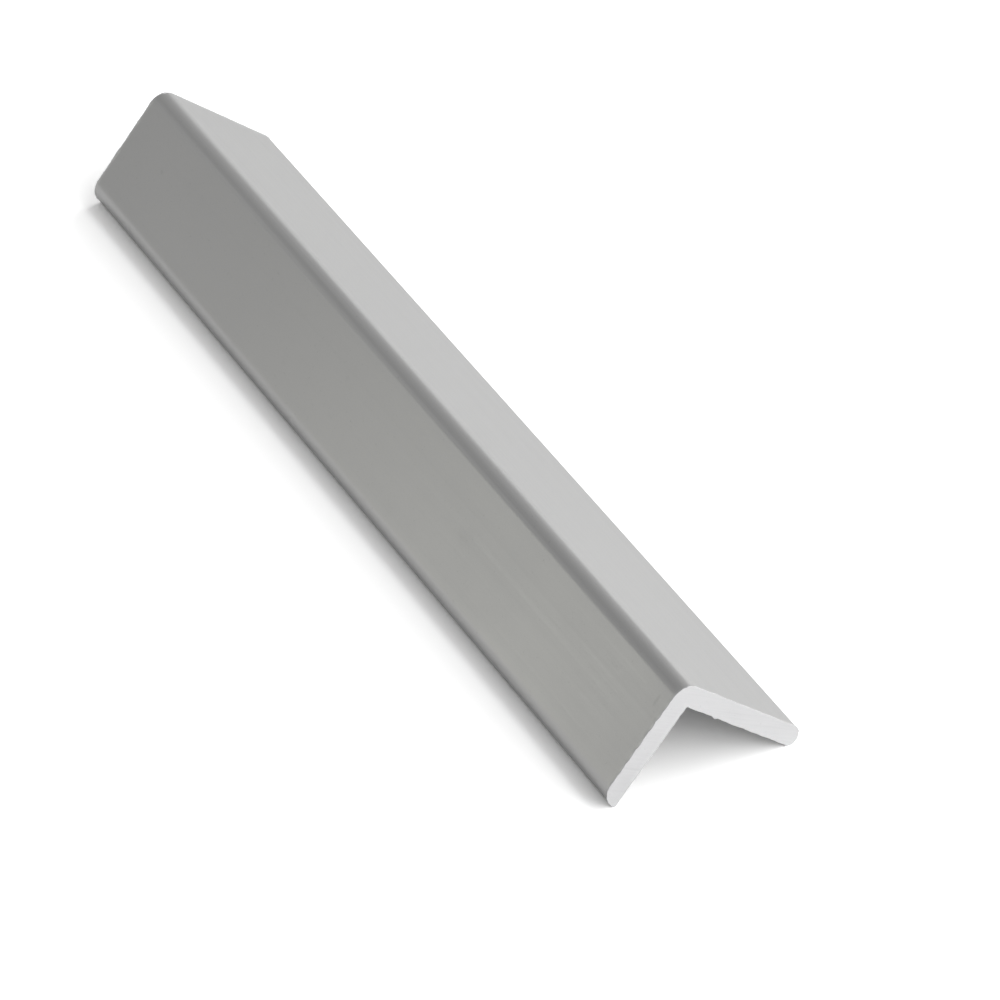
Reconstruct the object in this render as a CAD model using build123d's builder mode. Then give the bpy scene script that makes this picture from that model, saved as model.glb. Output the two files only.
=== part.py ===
from build123d import *
import os
from math import asin, atan2, cos, hypot, sin

# A short length of unequal aluminium angle for trimming an edge.
# It lies as it does unheld: on its two toes, ridge up, like a small tent.
# X runs along the length, Z is up, and the floor is Z = 0.

# Driving dimensions, mm
length = 160.0              # sawn square at both ends
short_leg = 20.0            # from the sharp outer corner to the toe, on the -Y side
long_leg = 24.0             # the same, on the +Y side
wall = 3.0                  # one wall for both legs
ridge_radius = 2.5          # outer corner
root_radius = 0.3           # inner corner, nearly sharp
short_toe_inner_radius = 0.15   # only the edge taken off
short_toe_flat = 0.05       # left between the two roundings of the short toe
long_toe_outer_radius = 1.7
long_toe_inner_radius = 0.85

# The short toe's outer corner is almost a full quarter round
short_toe_outer_radius = wall - short_toe_inner_radius - short_toe_flat

# How it lies. The floor touches the inner corner arc of each toe, so it is
# the line that touches both circles. Its slope against the short leg is the
# slope of the line between their centres, and a little for their unequal radii.
run_along_short = (short_leg - short_toe_inner_radius) - (wall - long_toe_inner_radius)
run_along_long = (long_leg - long_toe_inner_radius) - (wall - short_toe_inner_radius)
short_leg_slope = atan2(run_along_long, run_along_short) + asin(
    (long_toe_inner_radius - short_toe_inner_radius) / hypot(run_along_short, run_along_long)
)
down_along_short = sin(short_leg_slope)
down_along_long = cos(short_leg_slope)

# Height of the sharp outer corner, from the short leg's inner toe arc down
corner_height = (
    (short_leg - short_toe_inner_radius) * down_along_short
    + (wall - short_toe_inner_radius) * down_along_long
    + short_toe_inner_radius
)

# Reach of each toe to its own side of the corner, out to its outer arc
short_side_reach = (
    (short_leg - short_toe_outer_radius) * down_along_long
    - short_toe_outer_radius * down_along_short
    + short_toe_outer_radius
)
long_side_reach = (
    (long_leg - long_toe_outer_radius) * down_along_short
    - long_toe_outer_radius * down_along_long
    + long_toe_outer_radius
)
corner_y = (short_side_reach - long_side_reach) / 2

# The section's own plane: origin at the sharp outer corner,
# x down the short leg, y down the long leg.
section_plane = Plane(
    origin=(0, corner_y, corner_height),
    x_dir=(0, -down_along_long, -down_along_short),
    z_dir=(1, 0, 0),
)


def round_corner(sketch, x, y, radius):
    """Round the corner of the section that lies at a point of its own plane."""
    fillet(sketch.vertices().sort_by_distance((x, y))[0], radius=radius)


with BuildPart() as angle_profile:
    with BuildSketch(section_plane) as section:
        with BuildLine():
            Polyline(
                (0, 0),
                (short_leg, 0),
                (short_leg, wall),
                (wall, wall),
                (wall, long_leg),
                (0, long_leg),
                close=True,
            )
        make_face()
        round_corner(section, 0, 0, ridge_radius)
        round_corner(section, wall, wall, root_radius)
        round_corner(section, short_leg, 0, short_toe_outer_radius)
        round_corner(section, short_leg, wall, short_toe_inner_radius)
        round_corner(section, 0, long_leg, long_toe_outer_radius)
        round_corner(section, wall, long_leg, long_toe_inner_radius)
    extrude(amount=length / 2, both=True)

angle_profile.part.label = "angle_profile"
os.makedirs("parts", exist_ok=True)
export_step(angle_profile.part, "parts/angle_profile.step")
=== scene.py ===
from math import asin, atan2, cos, hypot, pi, radians, sin, sqrt

import bmesh
import bpy
from bpy.props import FloatProperty, FloatVectorProperty, PointerProperty
from mathutils import Matrix, Vector, noise


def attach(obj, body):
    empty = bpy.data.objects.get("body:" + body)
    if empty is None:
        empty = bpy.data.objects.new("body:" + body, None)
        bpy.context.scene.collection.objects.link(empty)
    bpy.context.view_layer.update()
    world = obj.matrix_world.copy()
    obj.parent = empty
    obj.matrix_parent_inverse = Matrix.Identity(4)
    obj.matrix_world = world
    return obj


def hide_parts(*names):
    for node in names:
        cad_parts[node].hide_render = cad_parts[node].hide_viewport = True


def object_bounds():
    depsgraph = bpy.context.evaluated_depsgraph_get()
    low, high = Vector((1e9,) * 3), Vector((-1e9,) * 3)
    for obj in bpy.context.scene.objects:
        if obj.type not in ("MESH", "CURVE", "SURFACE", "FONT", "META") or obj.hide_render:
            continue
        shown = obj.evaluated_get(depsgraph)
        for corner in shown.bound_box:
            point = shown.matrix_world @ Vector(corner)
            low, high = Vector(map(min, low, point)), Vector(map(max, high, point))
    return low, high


bl_info = {
    "name": "Anodised Edge Trim",
    "version": (1, 0, 0),
    "blender": (4, 5, 0),
    "location": "View3D > Sidebar > Edge Trim",
    "description": "A sawn length of unequal anodised aluminium angle, and a pale studio to show it in",
    "category": "Add Mesh",
}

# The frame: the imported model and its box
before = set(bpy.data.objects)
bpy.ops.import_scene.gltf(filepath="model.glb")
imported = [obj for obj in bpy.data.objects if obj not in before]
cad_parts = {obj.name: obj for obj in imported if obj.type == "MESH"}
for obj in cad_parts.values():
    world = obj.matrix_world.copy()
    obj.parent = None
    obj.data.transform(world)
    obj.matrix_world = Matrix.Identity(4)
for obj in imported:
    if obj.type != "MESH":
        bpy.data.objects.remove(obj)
cad_low, cad_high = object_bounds()
CAD_NODE = "angle_profile"


# Sizes and finishes that a user would change

def length_property(name, description, default, low=0.0, high=1.0):
    """A size in metres."""
    return FloatProperty(
        name=name,
        description=description,
        default=default,
        min=low,
        max=high,
        precision=5,
        unit="LENGTH",
        subtype="DISTANCE",
    )


def colour_property(name, description, default, high=1.0):
    """A colour, as linear red, green and blue."""
    return FloatVectorProperty(
        name=name,
        description=description,
        subtype="COLOR",
        size=3,
        min=0.0,
        max=high,
        default=default,
    )


def share_property(name, description, default):
    """A number from 0 to 1."""
    return FloatProperty(
        name=name,
        description=description,
        subtype="FACTOR",
        min=0.0,
        max=1.0,
        default=default,
    )


def angle_property(name, description, degrees):
    """An angle, given in degrees."""
    return FloatProperty(
        name=name,
        description=description,
        subtype="ANGLE",
        unit="ROTATION",
        default=radians(degrees),
    )


class TrimSizes(bpy.types.PropertyGroup):
    """Sizes of the trim"""

    length: length_property("Length", "Sawn length", cad_high.x - cad_low.x, 0.01, 6.0)
    short_leg: length_property("Short leg", "Outer width of the short leg", 0.020)
    long_leg: length_property("Long leg", "Outer width of the long leg", 0.024)
    wall: length_property("Wall", "Thickness of both legs", 0.003)
    ridge_radius: length_property("Ridge radius", "Outer corner of the angle", 0.0025)
    root_radius: length_property("Root radius", "Inner corner of the angle", 0.0003)
    short_toe_outer: length_property("Short toe, outer", "Outer radius of the short toe", 0.0028)
    short_toe_inner: length_property("Short toe, inner", "Inner radius of the short toe", 0.00015)
    long_toe_outer: length_property("Long toe, outer", "Outer radius of the long toe", 0.0017)
    long_toe_inner: length_property("Long toe, inner", "Inner radius of the long toe", 0.00085)
    burr: length_property("Burr", "How far the sawn edge is pushed out", 0.00013, 0.0, 0.001)
    torn_edge: length_property("Torn edge", "Width of the bright edge beside the cut", 0.00019, 0.0, 0.002)
    grid: length_property("Grid", "Spacing of the mesh round the section", 0.0003, 0.0001, 0.01)


class TrimFinish(bpy.types.PropertyGroup):
    """Colours and gloss of the trim"""

    film: colour_property("Anodised film", "Colour of the satin anodised faces", (0.47, 0.47, 0.467))
    film_roughness: share_property("Film roughness", "Roughness of the satin anodised faces", 0.34)
    cut: colour_property("Sawn metal", "Colour of the bare metal at the sawn ends", (0.64, 0.64, 0.645))
    cut_roughness: share_property("Cut roughness", "Roughness of the sawn ends", 0.65)


class StudioSettings(bpy.types.PropertyGroup):
    """The floor, the light and the camera"""

    floor_size: length_property("Floor size", "Side of the square floor", 3.0, 0.5, 20.0)
    floor_colour: colour_property("Floor", "Colour of the paper floor", (0.85, 0.85, 0.85))
    backdrop_colour: colour_property(
        "Floor as seen", "Colour of the paper floor to the camera alone", (1.36, 1.36, 1.36), 2.0
    )
    light_level: FloatProperty(
        name="Light level",
        description="Makes every lamp and the room brighter or darker",
        default=1.0,
        min=0.0,
        max=10.0,
    )
    room_level: share_property("Room light", "Level of the plain light from all round", 0.31)
    card_colour: colour_property("Side card", "Tint of the small card beside the short leg", (1.0, 1.0, 0.9))
    aim: FloatVectorProperty(
        name="Camera aim",
        description="Point that the middle of the picture shows",
        subtype="TRANSLATION",
        unit="LENGTH",
        size=3,
        default=(0.01153, 0.00561, -0.00185),
    )
    distance: length_property("Camera distance", "From the lens to the aim point", 0.90023, 0.1, 10.0)
    turn: angle_property("Camera turn", "Direction of view, turned from +Y towards -X", 62.199)
    tilt: angle_property("Camera tilt", "How far the camera looks down", 37.597)
    roll: angle_property("Camera roll", "How far the picture is turned", 0.396)
    lens: FloatProperty(
        name="Lens",
        description="Focal length in millimetres for a sensor 36 mm wide",
        default=228.363,
        min=10.0,
        max=1000.0,
    )


# Mesh detail: steps round each arc of the section and across its wall, and the least gap between rungs
OUTER_TOE_STEPS = 14
INNER_TOE_STEPS = 8
RIDGE_STEPS = 26
RUNG_STEPS = 7
LEAST_GAP = 0.000004

# Rings of the mesh, in metres
EVEN_RING = 0.0008      # from the cut to the last ring that is not torn
LAST_STATION = 0.002    # from the cut to the first of the evenly spaced rings
STATION_GAP = 0.02      # about how far apart those are
FLOOR_GAP = 0.00001     # lowest height of any point

# The sawn ends, in metres where they are not shares
LEAST_TEAR = 0.00003    # narrowest torn edge
TEAR_START = 0.00005    # from the torn edge to the ring that keeps the film flat
TEAR_RISE = 0.15        # share of the burr's height where the torn edge begins
LIP_BACK = 0.00004      # how far the burr's lip stands back from the cut
LIP_SHARE = 0.2         # share of the torn edge's width that is added to that
RIM_DROP = 0.00002      # how far the rim of the cut lies inside the lip
HOLLOW_SWING = 0.000012
HOLLOW_DEPTH = 0.000006

# Finish: material numbers of the faces, the angle in degrees above which an edge is not smoothed,
# the depth of surface relief, and how far the roughness of the film and of the cut varies
FILM_PART, CUT_PART = 0, 1
SHARP_ANGLE = 32.0
RELIEF_DEPTH = 0.00001
FILM_SWING = 0.02
CUT_SWING = 0.05


# The section, drawn in its own plane: u runs down the short leg and v down
# the long leg, both from the sharp outer corner

def quarter(centre_u, centre_v, radius, start, stop, steps):
    """Points of an arc, with its two ends."""
    points = []
    for i in range(steps + 1):
        angle = start + (stop - start) * i / steps
        points.append((centre_u + radius * cos(angle), centre_v + radius * sin(angle)))
    return points


def leg_stops(size, leg, outer, inner, start):
    """Distances down one leg at which the section gets a rung across its wall."""
    stops = {start, leg}
    flat_end = leg - max(outer, inner)
    count = max(2, round((flat_end - start) / size.grid))
    stops.update(start + (flat_end - start) * i / count for i in range(count + 1))
    for radius, steps in ((outer, OUTER_TOE_STEPS), (inner, INNER_TOE_STEPS)):
        stops.update(leg - radius + radius * sin(radians(90 * i / steps)) for i in range(steps + 1))
    ordered = []
    for stop in sorted(stops):
        if not ordered or stop - ordered[-1] > LEAST_GAP:
            ordered.append(stop)
    ordered[-1] = leg
    return ordered


def toe_drop(stop, leg, radius):
    """How far a toe's arc has turned away from the leg's flat at a distance down the leg."""
    past = max(0.0, stop - (leg - radius))
    return radius - sqrt(max(0.0, radius * radius - past * past))


def section_rungs(size):
    """Pairs of outer and inner points of the section, from the short toe round to the long toe."""
    start = size.wall + size.root_radius
    short, long = [], []
    for stop in leg_stops(size, size.short_leg, size.short_toe_outer, size.short_toe_inner, start):
        outer = toe_drop(stop, size.short_leg, size.short_toe_outer)
        inner = size.wall - toe_drop(stop, size.short_leg, size.short_toe_inner)
        short.append(((stop, outer), (stop, inner)))
    for stop in leg_stops(size, size.long_leg, size.long_toe_outer, size.long_toe_inner, start):
        outer = toe_drop(stop, size.long_leg, size.long_toe_outer)
        inner = size.wall - toe_drop(stop, size.long_leg, size.long_toe_inner)
        long.append(((outer, stop), (inner, stop)))
    r = size.ridge_radius
    ridge = quarter(r, r, r, radians(270), radians(180), RIDGE_STEPS)
    halfway = (start + r) / 2
    outside = [(halfway, 0.0), *ridge, (0.0, halfway)]
    root = quarter(start, start, size.root_radius, radians(270), radians(180), len(outside) + 1)
    corner = list(zip(outside, root[1:-1]))
    return short[::-1] + corner + long


def lying_frame(size):
    """The sharp outer corner's place and the directions of both legs, for an angle resting on its toes."""
    run_short = (size.short_leg - size.short_toe_inner) - (size.wall - size.long_toe_inner)
    run_long = (size.long_leg - size.long_toe_inner) - (size.wall - size.short_toe_inner)
    slope = atan2(run_long, run_short) + asin(
        (size.long_toe_inner - size.short_toe_inner) / hypot(run_short, run_long)
    )
    down_short, down_long = sin(slope), cos(slope)
    height = (
        (size.short_leg - size.short_toe_inner) * down_short
        + (size.wall - size.short_toe_inner) * down_long
        + size.short_toe_inner
    )
    short_reach = (
        (size.short_leg - size.short_toe_outer) * down_long
        - size.short_toe_outer * down_short
        + size.short_toe_outer
    )
    long_reach = (
        (size.long_leg - size.long_toe_outer) * down_short
        - size.long_toe_outer * down_long
        + size.long_toe_outer
    )
    corner = Vector((0.0, (short_reach - long_reach) / 2, height))
    along_short = Vector((0.0, -down_long, -down_short))
    along_long = Vector((0.0, down_short, -down_long))
    return corner, along_short, along_long


# Nubs of burr that stand out at the cut nearest the camera: distances u and v
# from the sharp corner, how far each stands out and how long it is
NEAR_NUBS = (
    (0.00657, 0.0, 0.00016, 0.0005),
    (0.00905, 0.0, 0.00008, 0.0012),
    (0.0048, 0.0, 0.00008, 0.0005),
    (0.0113, 0.0, 0.00011, 0.0004),
    (0.0138, 0.0, 0.00013, 0.0006),
    (0.0157, 0.0, 0.00009, 0.0004),
    (0.0, 0.00957, 0.00010, 0.0007),
    (0.0, 0.00590, 0.00008, 0.0010),
    (0.0030, 0.00866, 0.00020, 0.00045),
    (0.0030, 0.00505, 0.00007, 0.0016),
    (0.0030, 0.01250, 0.00008, 0.0020),
)


def burr_at(u, v, side):
    """Height of the burr and width of the torn edge at a point of the outline, as shares of their sizes."""
    place = Vector((u * 1000, v * 1000, 7.3 * side))
    coarse = noise.noise(place * 0.55)
    fine = noise.noise(place * 2.1 + Vector((11.0, 3.0, 5.0)))
    finest = noise.noise(place * 5.0 + Vector((2.0, 17.0, 9.0)))
    height = max(0.0, 0.34 + 0.55 * coarse + 0.5 * fine + 0.25 * finest)
    width = max(0.15, 0.75 + 0.9 * fine + 0.6 * coarse - 0.35 * finest)
    return height, width


def nubs_at(u, v, side):
    """How far the larger nubs stand out at a point of the outline."""
    if side < 0:
        return 0.0
    out = 0.0
    for nub_u, nub_v, height, reach in NEAR_NUBS:
        away = hypot(u - nub_u, v - nub_v) / reach
        out = max(out, height * max(0.0, 1.0 - away * away))
    return out


class ProfileMesh:
    """Collects the vertices and faces of the trim."""

    def __init__(self, size):
        self.size = size
        self.corner, self.along_short, self.along_long = lying_frame(size)
        self.rungs = section_rungs(size)
        self.points = []
        self.faces = []
        self.parts = []

    def place(self, u, v, x):
        """A point of the section at a place along the length, kept off the floor."""
        point = self.corner + self.along_short * u + self.along_long * v
        return (x, point.y, max(point.z, FLOOR_GAP))

    def outline(self):
        """The closed outline of the section, with the number of each point in the grid of rungs."""
        last = len(self.rungs) - 1
        keys = [(i, 0) for i in range(last + 1)]
        keys += [(last, j) for j in range(1, RUNG_STEPS)]
        keys += [(i, RUNG_STEPS) for i in range(last, -1, -1)]
        keys += [(0, j) for j in range(RUNG_STEPS - 1, 0, -1)]
        return keys

    def grid_point(self, key):
        """A point of the grid of rungs in the plane of the section."""
        (outer_u, outer_v), (inner_u, inner_v) = self.rungs[key[0]]
        share = key[1] / RUNG_STEPS
        return (outer_u + (inner_u - outer_u) * share, outer_v + (inner_v - outer_v) * share)

    def ring(self, keys, normals, offset, x):
        """Adds one ring of points, moved out along the normals; offset and x are functions of the index."""
        first = len(self.points)
        for i, key in enumerate(keys):
            u, v = self.grid_point(key)
            out = offset(i)
            self.points.append(self.place(u + normals[i][0] * out, v + normals[i][1] * out, x(i)))
        return list(range(first, first + len(keys)))

    def wrap(self, ring_a, ring_b, part):
        """Faces between two rings."""
        count = len(ring_a)
        for i in range(count):
            j = (i + 1) % count
            self.faces.append((ring_a[i], ring_a[j], ring_b[j], ring_b[i]))
            self.parts.append(part)

    def normals(self, keys):
        """Outward normals of the outline."""
        flat = [self.grid_point(key) for key in keys]
        count = len(flat)
        found = []
        for i in range(count):
            before, after = flat[i - 1], flat[(i + 1) % count]
            du, dv = after[0] - before[0], after[1] - before[1]
            reach = hypot(du, dv) or 1.0
            found.append((-dv / reach, du / reach))
        middle = keys.index((len(self.rungs) // 4, 0))
        if found[middle][1] > 0:
            found = [(-a, -b) for a, b in found]
        return found

    def build(self):
        """The whole trim: the long faces, the torn edges beside the cuts and the two cuts."""
        size = self.size
        half = size.length / 2
        keys = self.outline()
        normals = self.normals(keys)
        flat = [self.grid_point(key) for key in keys]
        rings = []
        for side in (-1, 1):
            burrs = [burr_at(u, v, side) for u, v in flat]
            nubs = [nubs_at(u, v, side) for u, v in flat]
            tears = [max(LEAST_TEAR, size.torn_edge * width) for height, width in burrs]
            outs = [size.burr * height + nub for (height, width), nub in zip(burrs, nubs)]
            even = self.ring(keys, normals, lambda i: 0.0, lambda i: side * (half - EVEN_RING))
            before = self.ring(keys, normals, lambda i: 0.0, lambda i: side * (half - tears[i] - TEAR_START))
            torn = self.ring(keys, normals, lambda i: TEAR_RISE * outs[i], lambda i: side * (half - tears[i]))
            lip = self.ring(
                keys, normals, lambda i: outs[i], lambda i: side * (half - LIP_BACK - LIP_SHARE * tears[i])
            )
            rim = self.ring(keys, normals, lambda i: outs[i] - RIM_DROP, lambda i: side * half)
            rings.append((even, before, torn, lip, rim))
        middle = [self.ring(keys, normals, lambda i: 0.0, lambda i: x) for x in self.stations(half)]
        far, near = rings
        order = [*far[2::-1], *middle, *near[:3]]
        for ring_a, ring_b in zip(order, order[1:]):
            self.wrap(ring_a, ring_b, FILM_PART)
        self.wrap(far[3], far[2], CUT_PART)
        self.wrap(far[4], far[3], CUT_PART)
        self.wrap(near[2], near[3], CUT_PART)
        self.wrap(near[3], near[4], CUT_PART)
        self.cap(keys, far[4], -1, half)
        self.cap(keys, near[4], 1, half)

    def stations(self, half):
        """Places of the rings between the two ends."""
        inside = half - LAST_STATION
        count = max(4, round(self.size.length / STATION_GAP))
        return [-inside + 2 * inside * i / count for i in range(count + 1)]

    def cap(self, keys, rim, side, half):
        """The sawn face: a grid of rungs with the slight hollows that a saw leaves."""
        numbers = dict(zip(keys, rim))
        for i in range(len(self.rungs)):
            for j in range(RUNG_STEPS + 1):
                if (i, j) in numbers:
                    continue
                u, v = self.grid_point((i, j))
                place = Vector((u * 1000, v * 1000, 3.0 * side))
                hollow = HOLLOW_SWING * noise.noise(place * 0.6) - HOLLOW_DEPTH
                numbers[(i, j)] = len(self.points)
                self.points.append(self.place(u, v, side * (half + hollow)))
        for i in range(len(self.rungs) - 1):
            for j in range(RUNG_STEPS):
                self.faces.append(
                    (numbers[(i, j)], numbers[(i + 1, j)], numbers[(i + 1, j + 1)], numbers[(i, j + 1)])
                )
                self.parts.append(CUT_PART)


# Node helpers

def fresh_tree(owner):
    """The emptied node tree of a new material or world."""
    owner.use_nodes = True
    owner.node_tree.nodes.clear()
    return owner.node_tree


def add(tree, kind, label, **settings):
    """Adds a node with a plain name; settings named in lower case are attributes."""
    node = tree.nodes.new(kind)
    node.label = label
    for name, value in settings.items():
        setattr(node, name, value)
    return node


def join(tree, source, target):
    """Links an output to an input."""
    tree.links.new(source, target)


def feed(tree, target, value):
    """Links an output to an input, or sets the input where the value is plain."""
    if isinstance(value, bpy.types.NodeSocket):
        join(tree, value, target)
    else:
        target.default_value = value


def math_node(tree, operation, label, first, second=None):
    """A Math node; each input is a socket or a number."""
    node = add(tree, "ShaderNodeMath", label, operation=operation)
    feed(tree, node.inputs[0], first)
    if second is not None:
        feed(tree, node.inputs[1], second)
    return node.outputs[0]


def vector_node(tree, operation, label, first, second=None):
    """A Vector Math node; its inputs are sockets."""
    node = add(tree, "ShaderNodeVectorMath", label, operation=operation)
    join(tree, first, node.inputs[0])
    if second is not None:
        join(tree, second, node.inputs[1])
    return node


def axes(tree, label, vector):
    """The three parts of a vector."""
    node = add(tree, "ShaderNodeSeparateXYZ", label)
    join(tree, vector, node.inputs["Vector"])
    return node.outputs


def between(tree, label, value, low, high, to_low, to_high):
    """Maps a value from one range to another, clamped."""
    node = add(tree, "ShaderNodeMapRange", label)
    node.inputs["From Min"].default_value = low
    node.inputs["From Max"].default_value = high
    node.inputs["To Min"].default_value = to_low
    node.inputs["To Max"].default_value = to_high
    join(tree, value, node.inputs["Value"])
    return node.outputs["Result"]


def stretched(tree, label, vector, scale, turn=(0.0, 0.0, 0.0)):
    """Coordinates turned and then scaled along each axis."""
    node = add(tree, "ShaderNodeMapping", label)
    node.inputs["Scale"].default_value = scale
    node.inputs["Rotation"].default_value = turn
    join(tree, vector, node.inputs["Vector"])
    return node.outputs["Vector"]


def clouds(tree, label, vector, scale, detail, roughness=0.5):
    """A noise texture's value; the scale is a socket or a number."""
    node = add(tree, "ShaderNodeTexNoise", label)
    node.inputs["Detail"].default_value = detail
    node.inputs["Roughness"].default_value = roughness
    join(tree, vector, node.inputs["Vector"])
    feed(tree, node.inputs["Scale"], scale)
    return node.outputs["Fac"]


def tinted(tree, label, factor, first, second):
    """A mix of two colours; each is a socket or three numbers."""
    node = add(tree, "ShaderNodeMix", label, data_type="RGBA")
    join(tree, factor, node.inputs[0])
    for target, colour in ((node.inputs[6], first), (node.inputs[7], second)):
        feed(tree, target, colour if isinstance(colour, bpy.types.NodeSocket) else (*colour, 1.0))
    return node.outputs[2]


def faintly(tree, label, mask, strength, under, over):
    """Lays one colour over another where a mask is, at a share of full strength."""
    share = math_node(tree, "MULTIPLY", f"{label}, share", mask, strength)
    return tinted(tree, label, share, under, over)


def relief(tree, label, height, strength, under=None):
    """The normal of a bump, laid over another one if there is one."""
    node = add(tree, "ShaderNodeBump", label)
    node.inputs["Strength"].default_value = strength
    node.inputs["Distance"].default_value = RELIEF_DEPTH
    join(tree, height, node.inputs["Height"])
    if under is not None:
        join(tree, under, node.inputs["Normal"])
    return node.outputs["Normal"]


def either(tree, label, factor, when_off, when_on):
    """One of two shaders, by a factor that is 0 or 1."""
    node = add(tree, "ShaderNodeMixShader", label)
    for target, source in zip(node.inputs, (factor, when_off, when_on)):
        join(tree, source, target)
    return node.outputs[0]


def new_group(name, inputs, outputs):
    """A shader node group with named inputs and outputs, and its two end nodes."""
    tree = bpy.data.node_groups.new(name, "ShaderNodeTree")
    for label, kind, default in inputs:
        socket = tree.interface.new_socket(label, in_out="INPUT", socket_type=kind)
        if default is not None:
            socket.default_value = default
    for label, kind in outputs:
        tree.interface.new_socket(label, in_out="OUTPUT", socket_type=kind)
    start = add(tree, "NodeGroupInput", "In")
    end = add(tree, "NodeGroupOutput", "Out")
    return tree, start.outputs, end.inputs


def use_group(tree, group, label, **values):
    """Places a group in a material; values are named as its inputs, with _ for a space."""
    node = add(tree, "ShaderNodeGroup", label)
    node.node_tree = group
    for name, value in values.items():
        feed(tree, node.inputs[name.replace("_", " ")], value)
    return node.outputs


def etched_grain_group():
    """Fine even grain of etched metal, with a few pits."""
    tree, given, found = new_group(
        "Etched grain",
        (("Coordinates", "NodeSocketVector", None), ("Grains per mm", "NodeSocketFloat", 7.0)),
        (("Tone", "NodeSocketFloat"), ("Specks", "NodeSocketFloat"), ("Height", "NodeSocketFloat")),
    )
    scale = math_node(tree, "MULTIPLY", "Per metre", given["Grains per mm"], 1000.0)
    fine = clouds(tree, "Fine grain", given["Coordinates"], scale, 2.0)
    half_scale = math_node(tree, "MULTIPLY", "Half as fine", scale, 0.45)
    pits = clouds(tree, "Pits", given["Coordinates"], half_scale, 3.0)
    join(tree, fine, found["Tone"])
    join(tree, between(tree, "Only the peaks", pits, 0.66, 0.76, 0.0, 1.0), found["Specks"])
    join(tree, fine, found["Height"])
    return tree


def drawn_lines_group():
    """Fine parallel lines along the first axis of the coordinates, as a die or a saw leaves."""
    tree, given, found = new_group(
        "Drawn lines",
        (
            ("Coordinates", "NodeSocketVector", None),
            ("Lines per mm", "NodeSocketFloat", 4.0),
            ("Run", "NodeSocketFloat", 0.004),
        ),
        (("Lines", "NodeSocketFloat"), ("Deep lines", "NodeSocketFloat")),
    )
    parts = axes(tree, "Axes", given["Coordinates"])
    squeezed = add(tree, "ShaderNodeCombineXYZ", "Squeezed along the lines")
    join(tree, math_node(tree, "MULTIPLY", "Along the lines", parts["X"], given["Run"]), squeezed.inputs["X"])
    join(tree, parts["Y"], squeezed.inputs["Y"])
    join(tree, parts["Z"], squeezed.inputs["Z"])
    scale = math_node(tree, "MULTIPLY", "Per metre", given["Lines per mm"], 1000.0)
    fine = clouds(tree, "Fine lines", squeezed.outputs["Vector"], scale, 3.0)
    wide_scale = math_node(tree, "MULTIPLY", "Wider apart", scale, 0.22)
    wide = clouds(tree, "Deep lines", squeezed.outputs["Vector"], wide_scale, 4.0)
    join(tree, fine, found["Lines"])
    join(tree, between(tree, "Only the deepest", wide, 0.60, 0.72, 0.0, 1.0), found["Deep lines"])
    return tree


def edge_wear_group():
    """Where the metal is rubbed: 1 within a ragged distance of either sawn end, 0 elsewhere."""
    tree, given, found = new_group(
        "Edge wear",
        (
            ("Coordinates", "NodeSocketVector", None),
            ("Half length", "NodeSocketFloat", 0.08),
            ("Reach", "NodeSocketFloat", 0.0006),
        ),
        (("Wear", "NodeSocketFloat"),),
    )
    parts = axes(tree, "Axes", given["Coordinates"])
    along = math_node(tree, "ABSOLUTE", "From the middle", parts["X"])
    gap = math_node(tree, "SUBTRACT", "From the end", given["Half length"], along)
    share = math_node(tree, "DIVIDE", "In reaches", gap, given["Reach"])
    ragged = clouds(tree, "Ragged", given["Coordinates"], 900.0, 3.0)
    uneven = math_node(tree, "MULTIPLY", "Uneven reach", ragged, 2.0)
    left = math_node(tree, "SUBTRACT", "Left over", uneven, share)
    join(tree, between(tree, "Wear", left, 0.0, 0.8, 0.0, 1.0), found["Wear"])
    return tree


def handling_mark_group():
    """One faint mark: 1 in the middle of an uneven blot, 0 away from it."""
    tree, given, found = new_group(
        "Handling mark",
        (
            ("Coordinates", "NodeSocketVector", None),
            ("Place", "NodeSocketVector", None),
            ("Reach", "NodeSocketVector", None),
        ),
        (("Mark", "NodeSocketFloat"),),
    )
    apart = vector_node(tree, "SUBTRACT", "From the mark", given["Coordinates"], given["Place"])
    shares = vector_node(tree, "DIVIDE", "In reaches", apart.outputs["Vector"], given["Reach"])
    far = vector_node(tree, "LENGTH", "How far", shares.outputs["Vector"])
    uneven = clouds(tree, "Uneven", given["Coordinates"], 2200.0, 3.0)
    ragged = math_node(tree, "ADD", "Ragged", far.outputs["Value"], uneven)
    join(tree, between(tree, "Mark", ragged, 0.7, 1.5, 1.0, 0.0), found["Mark"])
    return tree


def metal_material(name):
    """A material with one metallic Principled BSDF, and its parts."""
    material = bpy.data.materials.new(name)
    tree = fresh_tree(material)
    shader = add(tree, "ShaderNodeBsdfPrincipled", "Surface")
    shader.inputs["Metallic"].default_value = 1.0
    output = add(tree, "ShaderNodeOutputMaterial", "Output")
    join(tree, shader.outputs["BSDF"], output.inputs["Surface"])
    place = add(tree, "ShaderNodeTexCoord", "Place on the part").outputs["Object"]
    return material, tree, shader, place


def scaled_colour(colour, level):
    """A colour made lighter or darker."""
    return tuple(min(1.0, channel * level) for channel in colour)


def on_the_ridge(tree, place, size):
    """A mask of the rounded ridge: 1 above the height at which the short leg's flat begins."""
    corner, along_short, _ = lying_frame(size)
    start = (corner + along_short * size.ridge_radius).z
    height = axes(tree, "Height", place)["Z"]
    return between(tree, "On the ridge", height, start - 0.0002, start + 0.0003, 0.0, 1.0)


# Marks on the short leg's outer face: place along the length, distance down the leg,
# reach along and down, and how dark each is
MARKS = (
    (-0.0686, 0.0086, 0.0006, 0.0004, 0.16),
    (-0.0088, 0.0077, 0.0006, 0.0004, 0.06),
    (-0.0070, 0.0135, 0.0012, 0.0003, 0.05),
    (0.0677, 0.0058, 0.0014, 0.0004, 0.06),
    (0.0777, 0.0046, 0.0004, 0.0012, 0.20),
)


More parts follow.
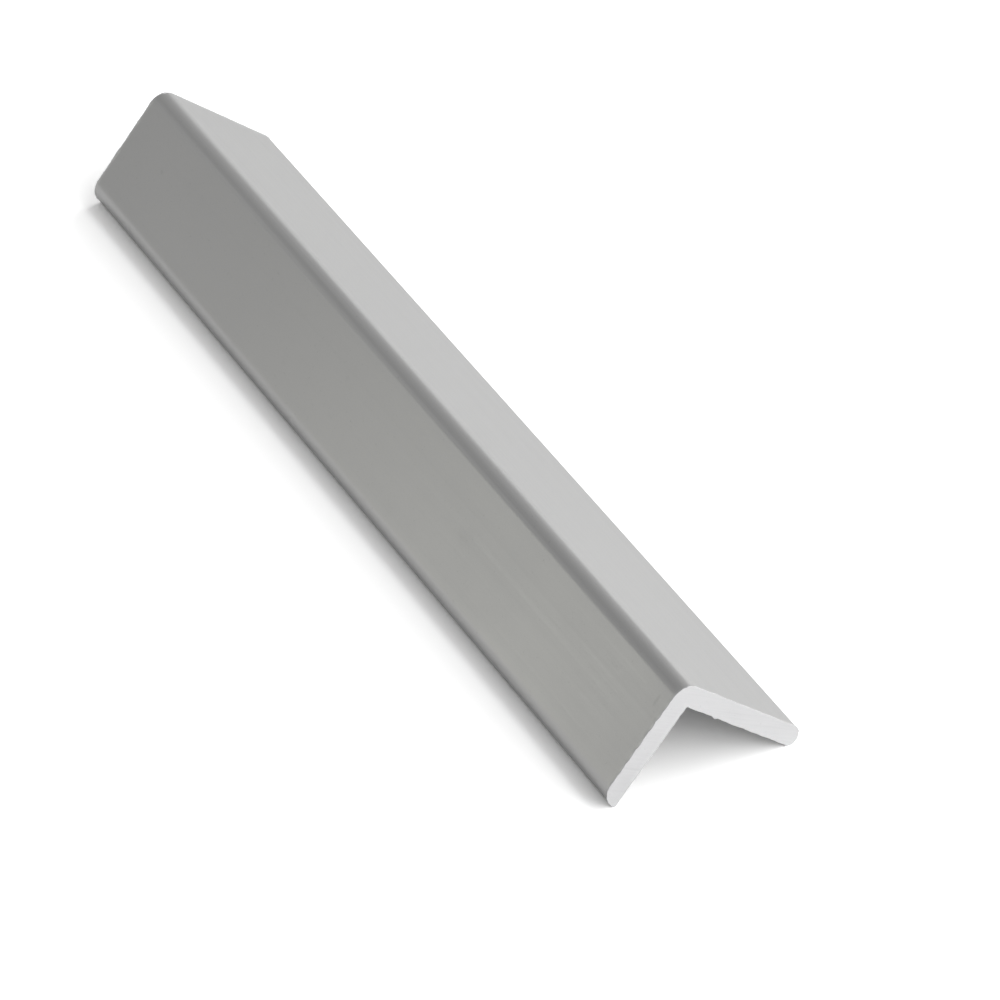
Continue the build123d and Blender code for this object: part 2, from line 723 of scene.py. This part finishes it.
def handling_marks(tree, place, size, group, colour, film):
    """Darkens a colour at each of the marks."""
    corner, along_short, _ = lying_frame(size)
    for number, (x, down, reach_along, reach_down, strength) in enumerate(MARKS, 1):
        spot = corner + along_short * down
        mark = use_group(
            tree,
            group,
            f"Mark {number}",
            Coordinates=place,
            Place=(x, spot.y, spot.z),
            Reach=(reach_along, reach_down, reach_down),
        )
        colour = faintly(tree, f"Marked {number}", mark["Mark"], strength, colour, scaled_colour(film, 0.4))
    return colour


def film_material(finish, size, groups):
    """Satin silver anodised film: die lines, etched grain, handling marks and rubbed ends."""
    material, tree, shader, place = metal_material("Satin anodised film")
    film = tuple(finish.film)
    grain = use_group(tree, groups["grain"], "Etched grain", Coordinates=place, Grains_per_mm=6.0)
    lines = use_group(tree, groups["lines"], "Die lines", Coordinates=place, Lines_per_mm=3.2, Run=0.003)
    crowded = use_group(tree, groups["lines"], "Ridge lines", Coordinates=place, Lines_per_mm=7.0, Run=0.004)
    wear = use_group(
        tree, groups["wear"], "Rubbed ends", Coordinates=place, Half_length=size.length / 2, Reach=0.0004
    )
    cloud = clouds(tree, "Uneven film", place, 38.0, 4.0, 0.55)
    streaks = math_node(
        tree,
        "MULTIPLY",
        "Ridge streaks",
        between(tree, "Fine streaks", crowded["Lines"], 0.35, 0.65, 0.0, 0.9),
        on_the_ridge(tree, place, size),
    )
    tone = between(tree, "Grain strength", grain["Tone"], 0.3, 0.7, 0.0, 0.16)
    colour = tinted(tree, "Cloudy film", cloud, scaled_colour(film, 0.975), scaled_colour(film, 1.025))
    colour = faintly(tree, "Darker die lines", lines["Deep lines"], 0.10, colour, scaled_colour(film, 0.86))
    colour = tinted(tree, "Streaks along the ridge", streaks, colour, scaled_colour(film, 1.06))
    colour = tinted(tree, "Grain", tone, colour, scaled_colour(film, 0.80))
    colour = faintly(tree, "Dark specks", grain["Specks"], 0.30, colour, scaled_colour(film, 0.55))
    colour = handling_marks(tree, place, size, groups["mark"], colour, film)
    colour = faintly(tree, "Rubbed edge", wear["Wear"], 0.55, colour, tuple(finish.cut))
    join(tree, colour, shader.inputs["Base Color"])

    drawn_out = stretched(tree, "Long marks", place, (60.0, 150.0, 150.0))
    smudge = clouds(tree, "Finger marks", drawn_out, 1.0, 5.0, 0.6)
    smudges = between(tree, "Only a few marks", smudge, 0.60, 0.74, 0.0, 1.0)
    rough = finish.film_roughness
    satin = between(tree, "Satin", cloud, 0.3, 0.7, rough - FILM_SWING, rough + FILM_SWING)
    dull = math_node(tree, "MULTIPLY", "Dull marks", smudges, 0.03)
    marked = math_node(tree, "ADD", "Marks are duller", satin, dull)
    centred = math_node(tree, "SUBTRACT", "Centred", lines["Lines"], 0.5)
    gloss = math_node(tree, "MULTIPLY", "Line gloss", centred, 0.10)
    join(tree, math_node(tree, "ADD", "Lines catch light", marked, gloss), shader.inputs["Roughness"])

    die_relief = relief(tree, "Die line relief", lines["Lines"], 0.35)
    join(tree, relief(tree, "Grain relief", grain["Height"], 0.30, die_relief), shader.inputs["Normal"])
    return material


def cut_material(finish, groups):
    """Bare sawn metal: fine saw lines across the wall, torn grain and a tone that varies at random."""
    material, tree, shader, place = metal_material("Sawn aluminium")
    cut = tuple(finish.cut)
    swept = stretched(tree, "Across the cut", place, (1.0, 1.0, 1.0), (radians(28), 0.0, radians(90)))
    saw = use_group(tree, groups["lines"], "Saw lines", Coordinates=swept, Lines_per_mm=3.5, Run=0.03)
    grain = use_group(tree, groups["grain"], "Torn grain", Coordinates=place, Grains_per_mm=5.0)
    cloud = clouds(tree, "Uneven cut", place, 160.0, 3.0)
    colour = tinted(tree, "Uneven metal", cloud, scaled_colour(cut, 0.96), scaled_colour(cut, 1.03))
    colour = faintly(tree, "Darker saw lines", saw["Deep lines"], 0.30, colour, scaled_colour(cut, 0.80))
    colour = faintly(tree, "Torn spots", grain["Specks"], 0.35, colour, scaled_colour(cut, 0.70))
    join(tree, colour, shader.inputs["Base Color"])

    rough = finish.cut_roughness
    gloss = between(tree, "Sawn gloss", saw["Lines"], 0.3, 0.7, rough - CUT_SWING, rough + CUT_SWING)
    join(tree, gloss, shader.inputs["Roughness"])

    saw_relief = relief(tree, "Saw relief", saw["Lines"], 0.5)
    join(tree, relief(tree, "Grain relief", grain["Height"], 0.4, saw_relief), shader.inputs["Normal"])
    return material


def link_object(name, data):
    """Puts new data in the scene under a plain name."""
    made = bpy.data.objects.new(name, data)
    bpy.context.scene.collection.objects.link(made)
    return made


def facing_out(mesh):
    """Turns every face of a closed mesh to face out."""
    work = bmesh.new()
    work.from_mesh(mesh)
    bmesh.ops.recalc_face_normals(work, faces=work.faces)
    open_edges = [edge for edge in work.edges if not edge.is_manifold]
    work.to_mesh(mesh)
    work.free()
    mesh.update()
    if open_edges:
        raise RuntimeError("the trim's mesh is not closed")


class TRIM_OT_make_profile(bpy.types.Operator):
    """Build the sawn length of anodised angle"""

    bl_idname = "trim.make_profile"
    bl_label = "Make Trim Profile"

    def execute(self, context):
        size = context.scene.trim_sizes
        finish = context.scene.trim_finish
        maker = ProfileMesh(size)
        maker.build()
        mesh = bpy.data.meshes.new("trim_profile")
        mesh.from_pydata(maker.points, [], maker.faces)
        mesh.polygons.foreach_set("material_index", maker.parts)
        mesh.polygons.foreach_set("use_smooth", [True] * len(maker.faces))
        if mesh.validate():
            raise RuntimeError("the trim's mesh has faces that are not valid")
        groups = {
            "grain": etched_grain_group(),
            "lines": drawn_lines_group(),
            "wear": edge_wear_group(),
            "mark": handling_mark_group(),
        }
        mesh.materials.append(film_material(finish, size, groups))
        mesh.materials.append(cut_material(finish, groups))
        facing_out(mesh)
        mesh.set_sharp_from_angle(angle=radians(SHARP_ANGLE))
        trim = link_object("trim_profile", mesh)
        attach(trim, "root")
        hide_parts(CAD_NODE)
        return {"FINISHED"}


# The studio. Softboxes stand round the trim and face it: azimuth from +X towards +Y
# and elevation in degrees, distance, width and height in metres, and brightness
# where 1 is a white wall in plain light.
SOFTBOXES = (
    ("front_panel", 0.0, 18.0, 1.50, 1.30, 0.80, 1.47),
    ("front_softbox", 36.0, 18.0, 1.50, 1.30, 0.80, 5.02),
    ("side_low_panel", 95.0, 18.0, 1.50, 1.30, 0.80, 1.33),
    ("front_high_panel", 0.0, 48.0, 1.50, 1.50, 1.10, 0.33),
    ("right_high_panel", 45.0, 48.0, 1.50, 1.50, 1.10, 0.81),
    ("side_softbox", 90.0, 45.0, 1.50, 1.50, 1.10, 2.07),
    ("right_wall", 130.0, 12.5, 1.20, 0.95, 0.50, 0.48),
    ("right_wall_front", 120.0, 14.0, 1.50, 1.10, 0.60, 0.32),
    ("back_panel", 180.0, 40.0, 1.25, 1.50, 0.75, 0.15),
    ("back_panel_middle", 182.0, 47.0, 1.20, 0.49, 0.49, 0.08),
    ("back_panel_right", 150.0, 36.0, 1.20, 0.61, 0.61, 0.13),
    ("left_wall", 225.0, 20.0, 1.20, 0.95, 0.74, 0.21),
)

# A small card close beside the short leg: its place, the point it faces, its size and brightness
SIDE_CARD = ((-0.24, -0.32, 0.09), (-0.24, 0.0, 0.01), 0.12, 0.18, 0.78)


def paper(tree, label, colour):
    """A matt surface of one colour."""
    node = add(tree, "ShaderNodeBsdfDiffuse", label)
    node.inputs["Color"].default_value = (*colour, 1.0)
    return node.outputs[0]


def floor_material(studio):
    """White paper that keeps the shadow, and is lighter to the camera than in the light it returns."""
    material = bpy.data.materials.new("Paper floor")
    tree = fresh_tree(material)
    lit = paper(tree, "Paper as it lights the metal", studio.floor_colour)
    seen = paper(tree, "Paper as seen", studio.backdrop_colour)
    camera = add(tree, "ShaderNodeLightPath", "Who is looking").outputs["Is Camera Ray"]
    clear = add(tree, "ShaderNodeBsdfTransparent", "Open from below").outputs[0]
    side = add(tree, "ShaderNodeNewGeometry", "Side")
    below = math_node(tree, "MULTIPLY", "Camera below", side.outputs["Backfacing"], camera)
    above = either(tree, "Seen or lit", camera, lit, seen)
    output = add(tree, "ShaderNodeOutputMaterial", "Output")
    join(tree, either(tree, "From above or below", below, above, clear), output.inputs["Surface"])
    return material


def white_background(tree, label, strength):
    """Plain white light from all round."""
    node = add(tree, "ShaderNodeBackground", label)
    node.inputs["Color"].default_value = (1.0, 1.0, 1.0, 1.0)
    node.inputs["Strength"].default_value = strength
    return node.outputs[0]


def room_world(level):
    """A white backdrop for the camera, and plain soft light from all round."""
    world = bpy.data.worlds.new("Pale room")
    tree = fresh_tree(world)
    camera = add(tree, "ShaderNodeLightPath", "Who is looking").outputs["Is Camera Ray"]
    white = white_background(tree, "White backdrop", 1.0)
    room = white_background(tree, "Room light", level)
    output = add(tree, "ShaderNodeOutputWorld", "Output")
    join(tree, either(tree, "Backdrop or light", camera, room, white), output.inputs["Surface"])
    return world


def soft_lamp(name, place, target, width, height, brightness, colour=(1.0, 1.0, 1.0)):
    """A soft rectangular lamp that faces a point; its power follows from its size and brightness."""
    lamp = bpy.data.lights.new(name, "AREA")
    lamp.shape = "RECTANGLE"
    lamp.size, lamp.size_y = width, height
    lamp.energy = brightness * pi * width * height
    lamp.color = colour
    made = link_object(name, lamp)
    made.visible_camera = False
    made.location = place
    made.rotation_euler = (Vector(target) - Vector(place)).to_track_quat("-Z", "Y").to_euler()


def softbox_place(azimuth, elevation, distance):
    """Where a softbox stands."""
    flat = distance * cos(radians(elevation))
    return (
        flat * cos(radians(azimuth)),
        flat * sin(radians(azimuth)),
        distance * sin(radians(elevation)),
    )


def photo_camera(studio):
    """The camera at the photograph's angle."""
    data = bpy.data.cameras.new("photo_camera")
    data.sensor_width = 36.0
    data.lens = studio.lens
    data.clip_start, data.clip_end = 0.05, 20.0
    level = cos(studio.tilt)
    ahead = Vector((-sin(studio.turn) * level, cos(studio.turn) * level, -sin(studio.tilt)))
    aside = Vector((cos(studio.turn), sin(studio.turn), 0.0))
    upward = aside.cross(ahead)
    right = aside * cos(studio.roll) - upward * sin(studio.roll)
    up = aside * sin(studio.roll) + upward * cos(studio.roll)
    made = link_object("photo_camera", data)
    turned = Matrix((right, up, -ahead)).transposed().to_4x4()
    made.matrix_world = Matrix.Translation(Vector(studio.aim) - ahead * studio.distance) @ turned
    bpy.context.scene.camera = made


class TRIM_OT_make_studio(bpy.types.Operator):
    """Lay the pale floor, set the soft lights and place the camera"""

    bl_idname = "trim.make_studio"
    bl_label = "Make Studio"

    def execute(self, context):
        studio = context.scene.trim_studio
        level = studio.light_level
        half = studio.floor_size / 2
        mesh = bpy.data.meshes.new("paper_floor")
        mesh.from_pydata(
            [(-half, -half, 0), (half, -half, 0), (half, half, 0), (-half, half, 0)], [], [(0, 1, 2, 3)]
        )
        mesh.materials.append(floor_material(studio))
        link_object("paper_floor", mesh)
        for name, azimuth, elevation, distance, width, height, brightness in SOFTBOXES:
            place = softbox_place(azimuth, elevation, distance)
            soft_lamp(name, place, (0.0, 0.0, 0.0), width, height, brightness * level)
        place, target, width, height, brightness = SIDE_CARD
        soft_lamp("side_card", place, target, width, height, brightness * level, tuple(studio.card_colour))
        context.scene.world = room_world(studio.room_level * level)
        context.scene.view_settings.view_transform = "Standard"
        photo_camera(studio)
        return {"FINISHED"}


class TRIM_PT_panel(bpy.types.Panel):
    """Sizes, finishes and studio of the edge trim"""

    bl_idname = "TRIM_PT_panel"
    bl_label = "Edge Trim"
    bl_space_type = "VIEW_3D"
    bl_region_type = "UI"
    bl_category = "Edge Trim"

    def draw(self, context):
        for group, operator in (
            (context.scene.trim_sizes, TRIM_OT_make_profile),
            (context.scene.trim_finish, None),
            (context.scene.trim_studio, TRIM_OT_make_studio),
        ):
            box = self.layout.box()
            for name in group.bl_rna.properties.keys():
                if name not in {"rna_type", "name"}:
                    box.prop(group, name)
            if operator:
                box.operator(operator.bl_idname)


CLASSES = (TrimSizes, TrimFinish, StudioSettings, TRIM_OT_make_profile, TRIM_OT_make_studio, TRIM_PT_panel)


def register():
    """Adds the classes and the scene's settings."""
    for item in CLASSES:
        bpy.utils.register_class(item)
    bpy.types.Scene.trim_sizes = PointerProperty(type=TrimSizes)
    bpy.types.Scene.trim_finish = PointerProperty(type=TrimFinish)
    bpy.types.Scene.trim_studio = PointerProperty(type=StudioSettings)


def unregister():
    """Takes them away again."""
    del bpy.types.Scene.trim_studio
    del bpy.types.Scene.trim_finish
    del bpy.types.Scene.trim_sizes
    for item in reversed(CLASSES):
        bpy.utils.unregister_class(item)


def main():
    """Builds everything."""
    register()
    bpy.ops.trim.make_profile()
    bpy.ops.trim.make_studio()


if __name__ == "__main__":
    main()
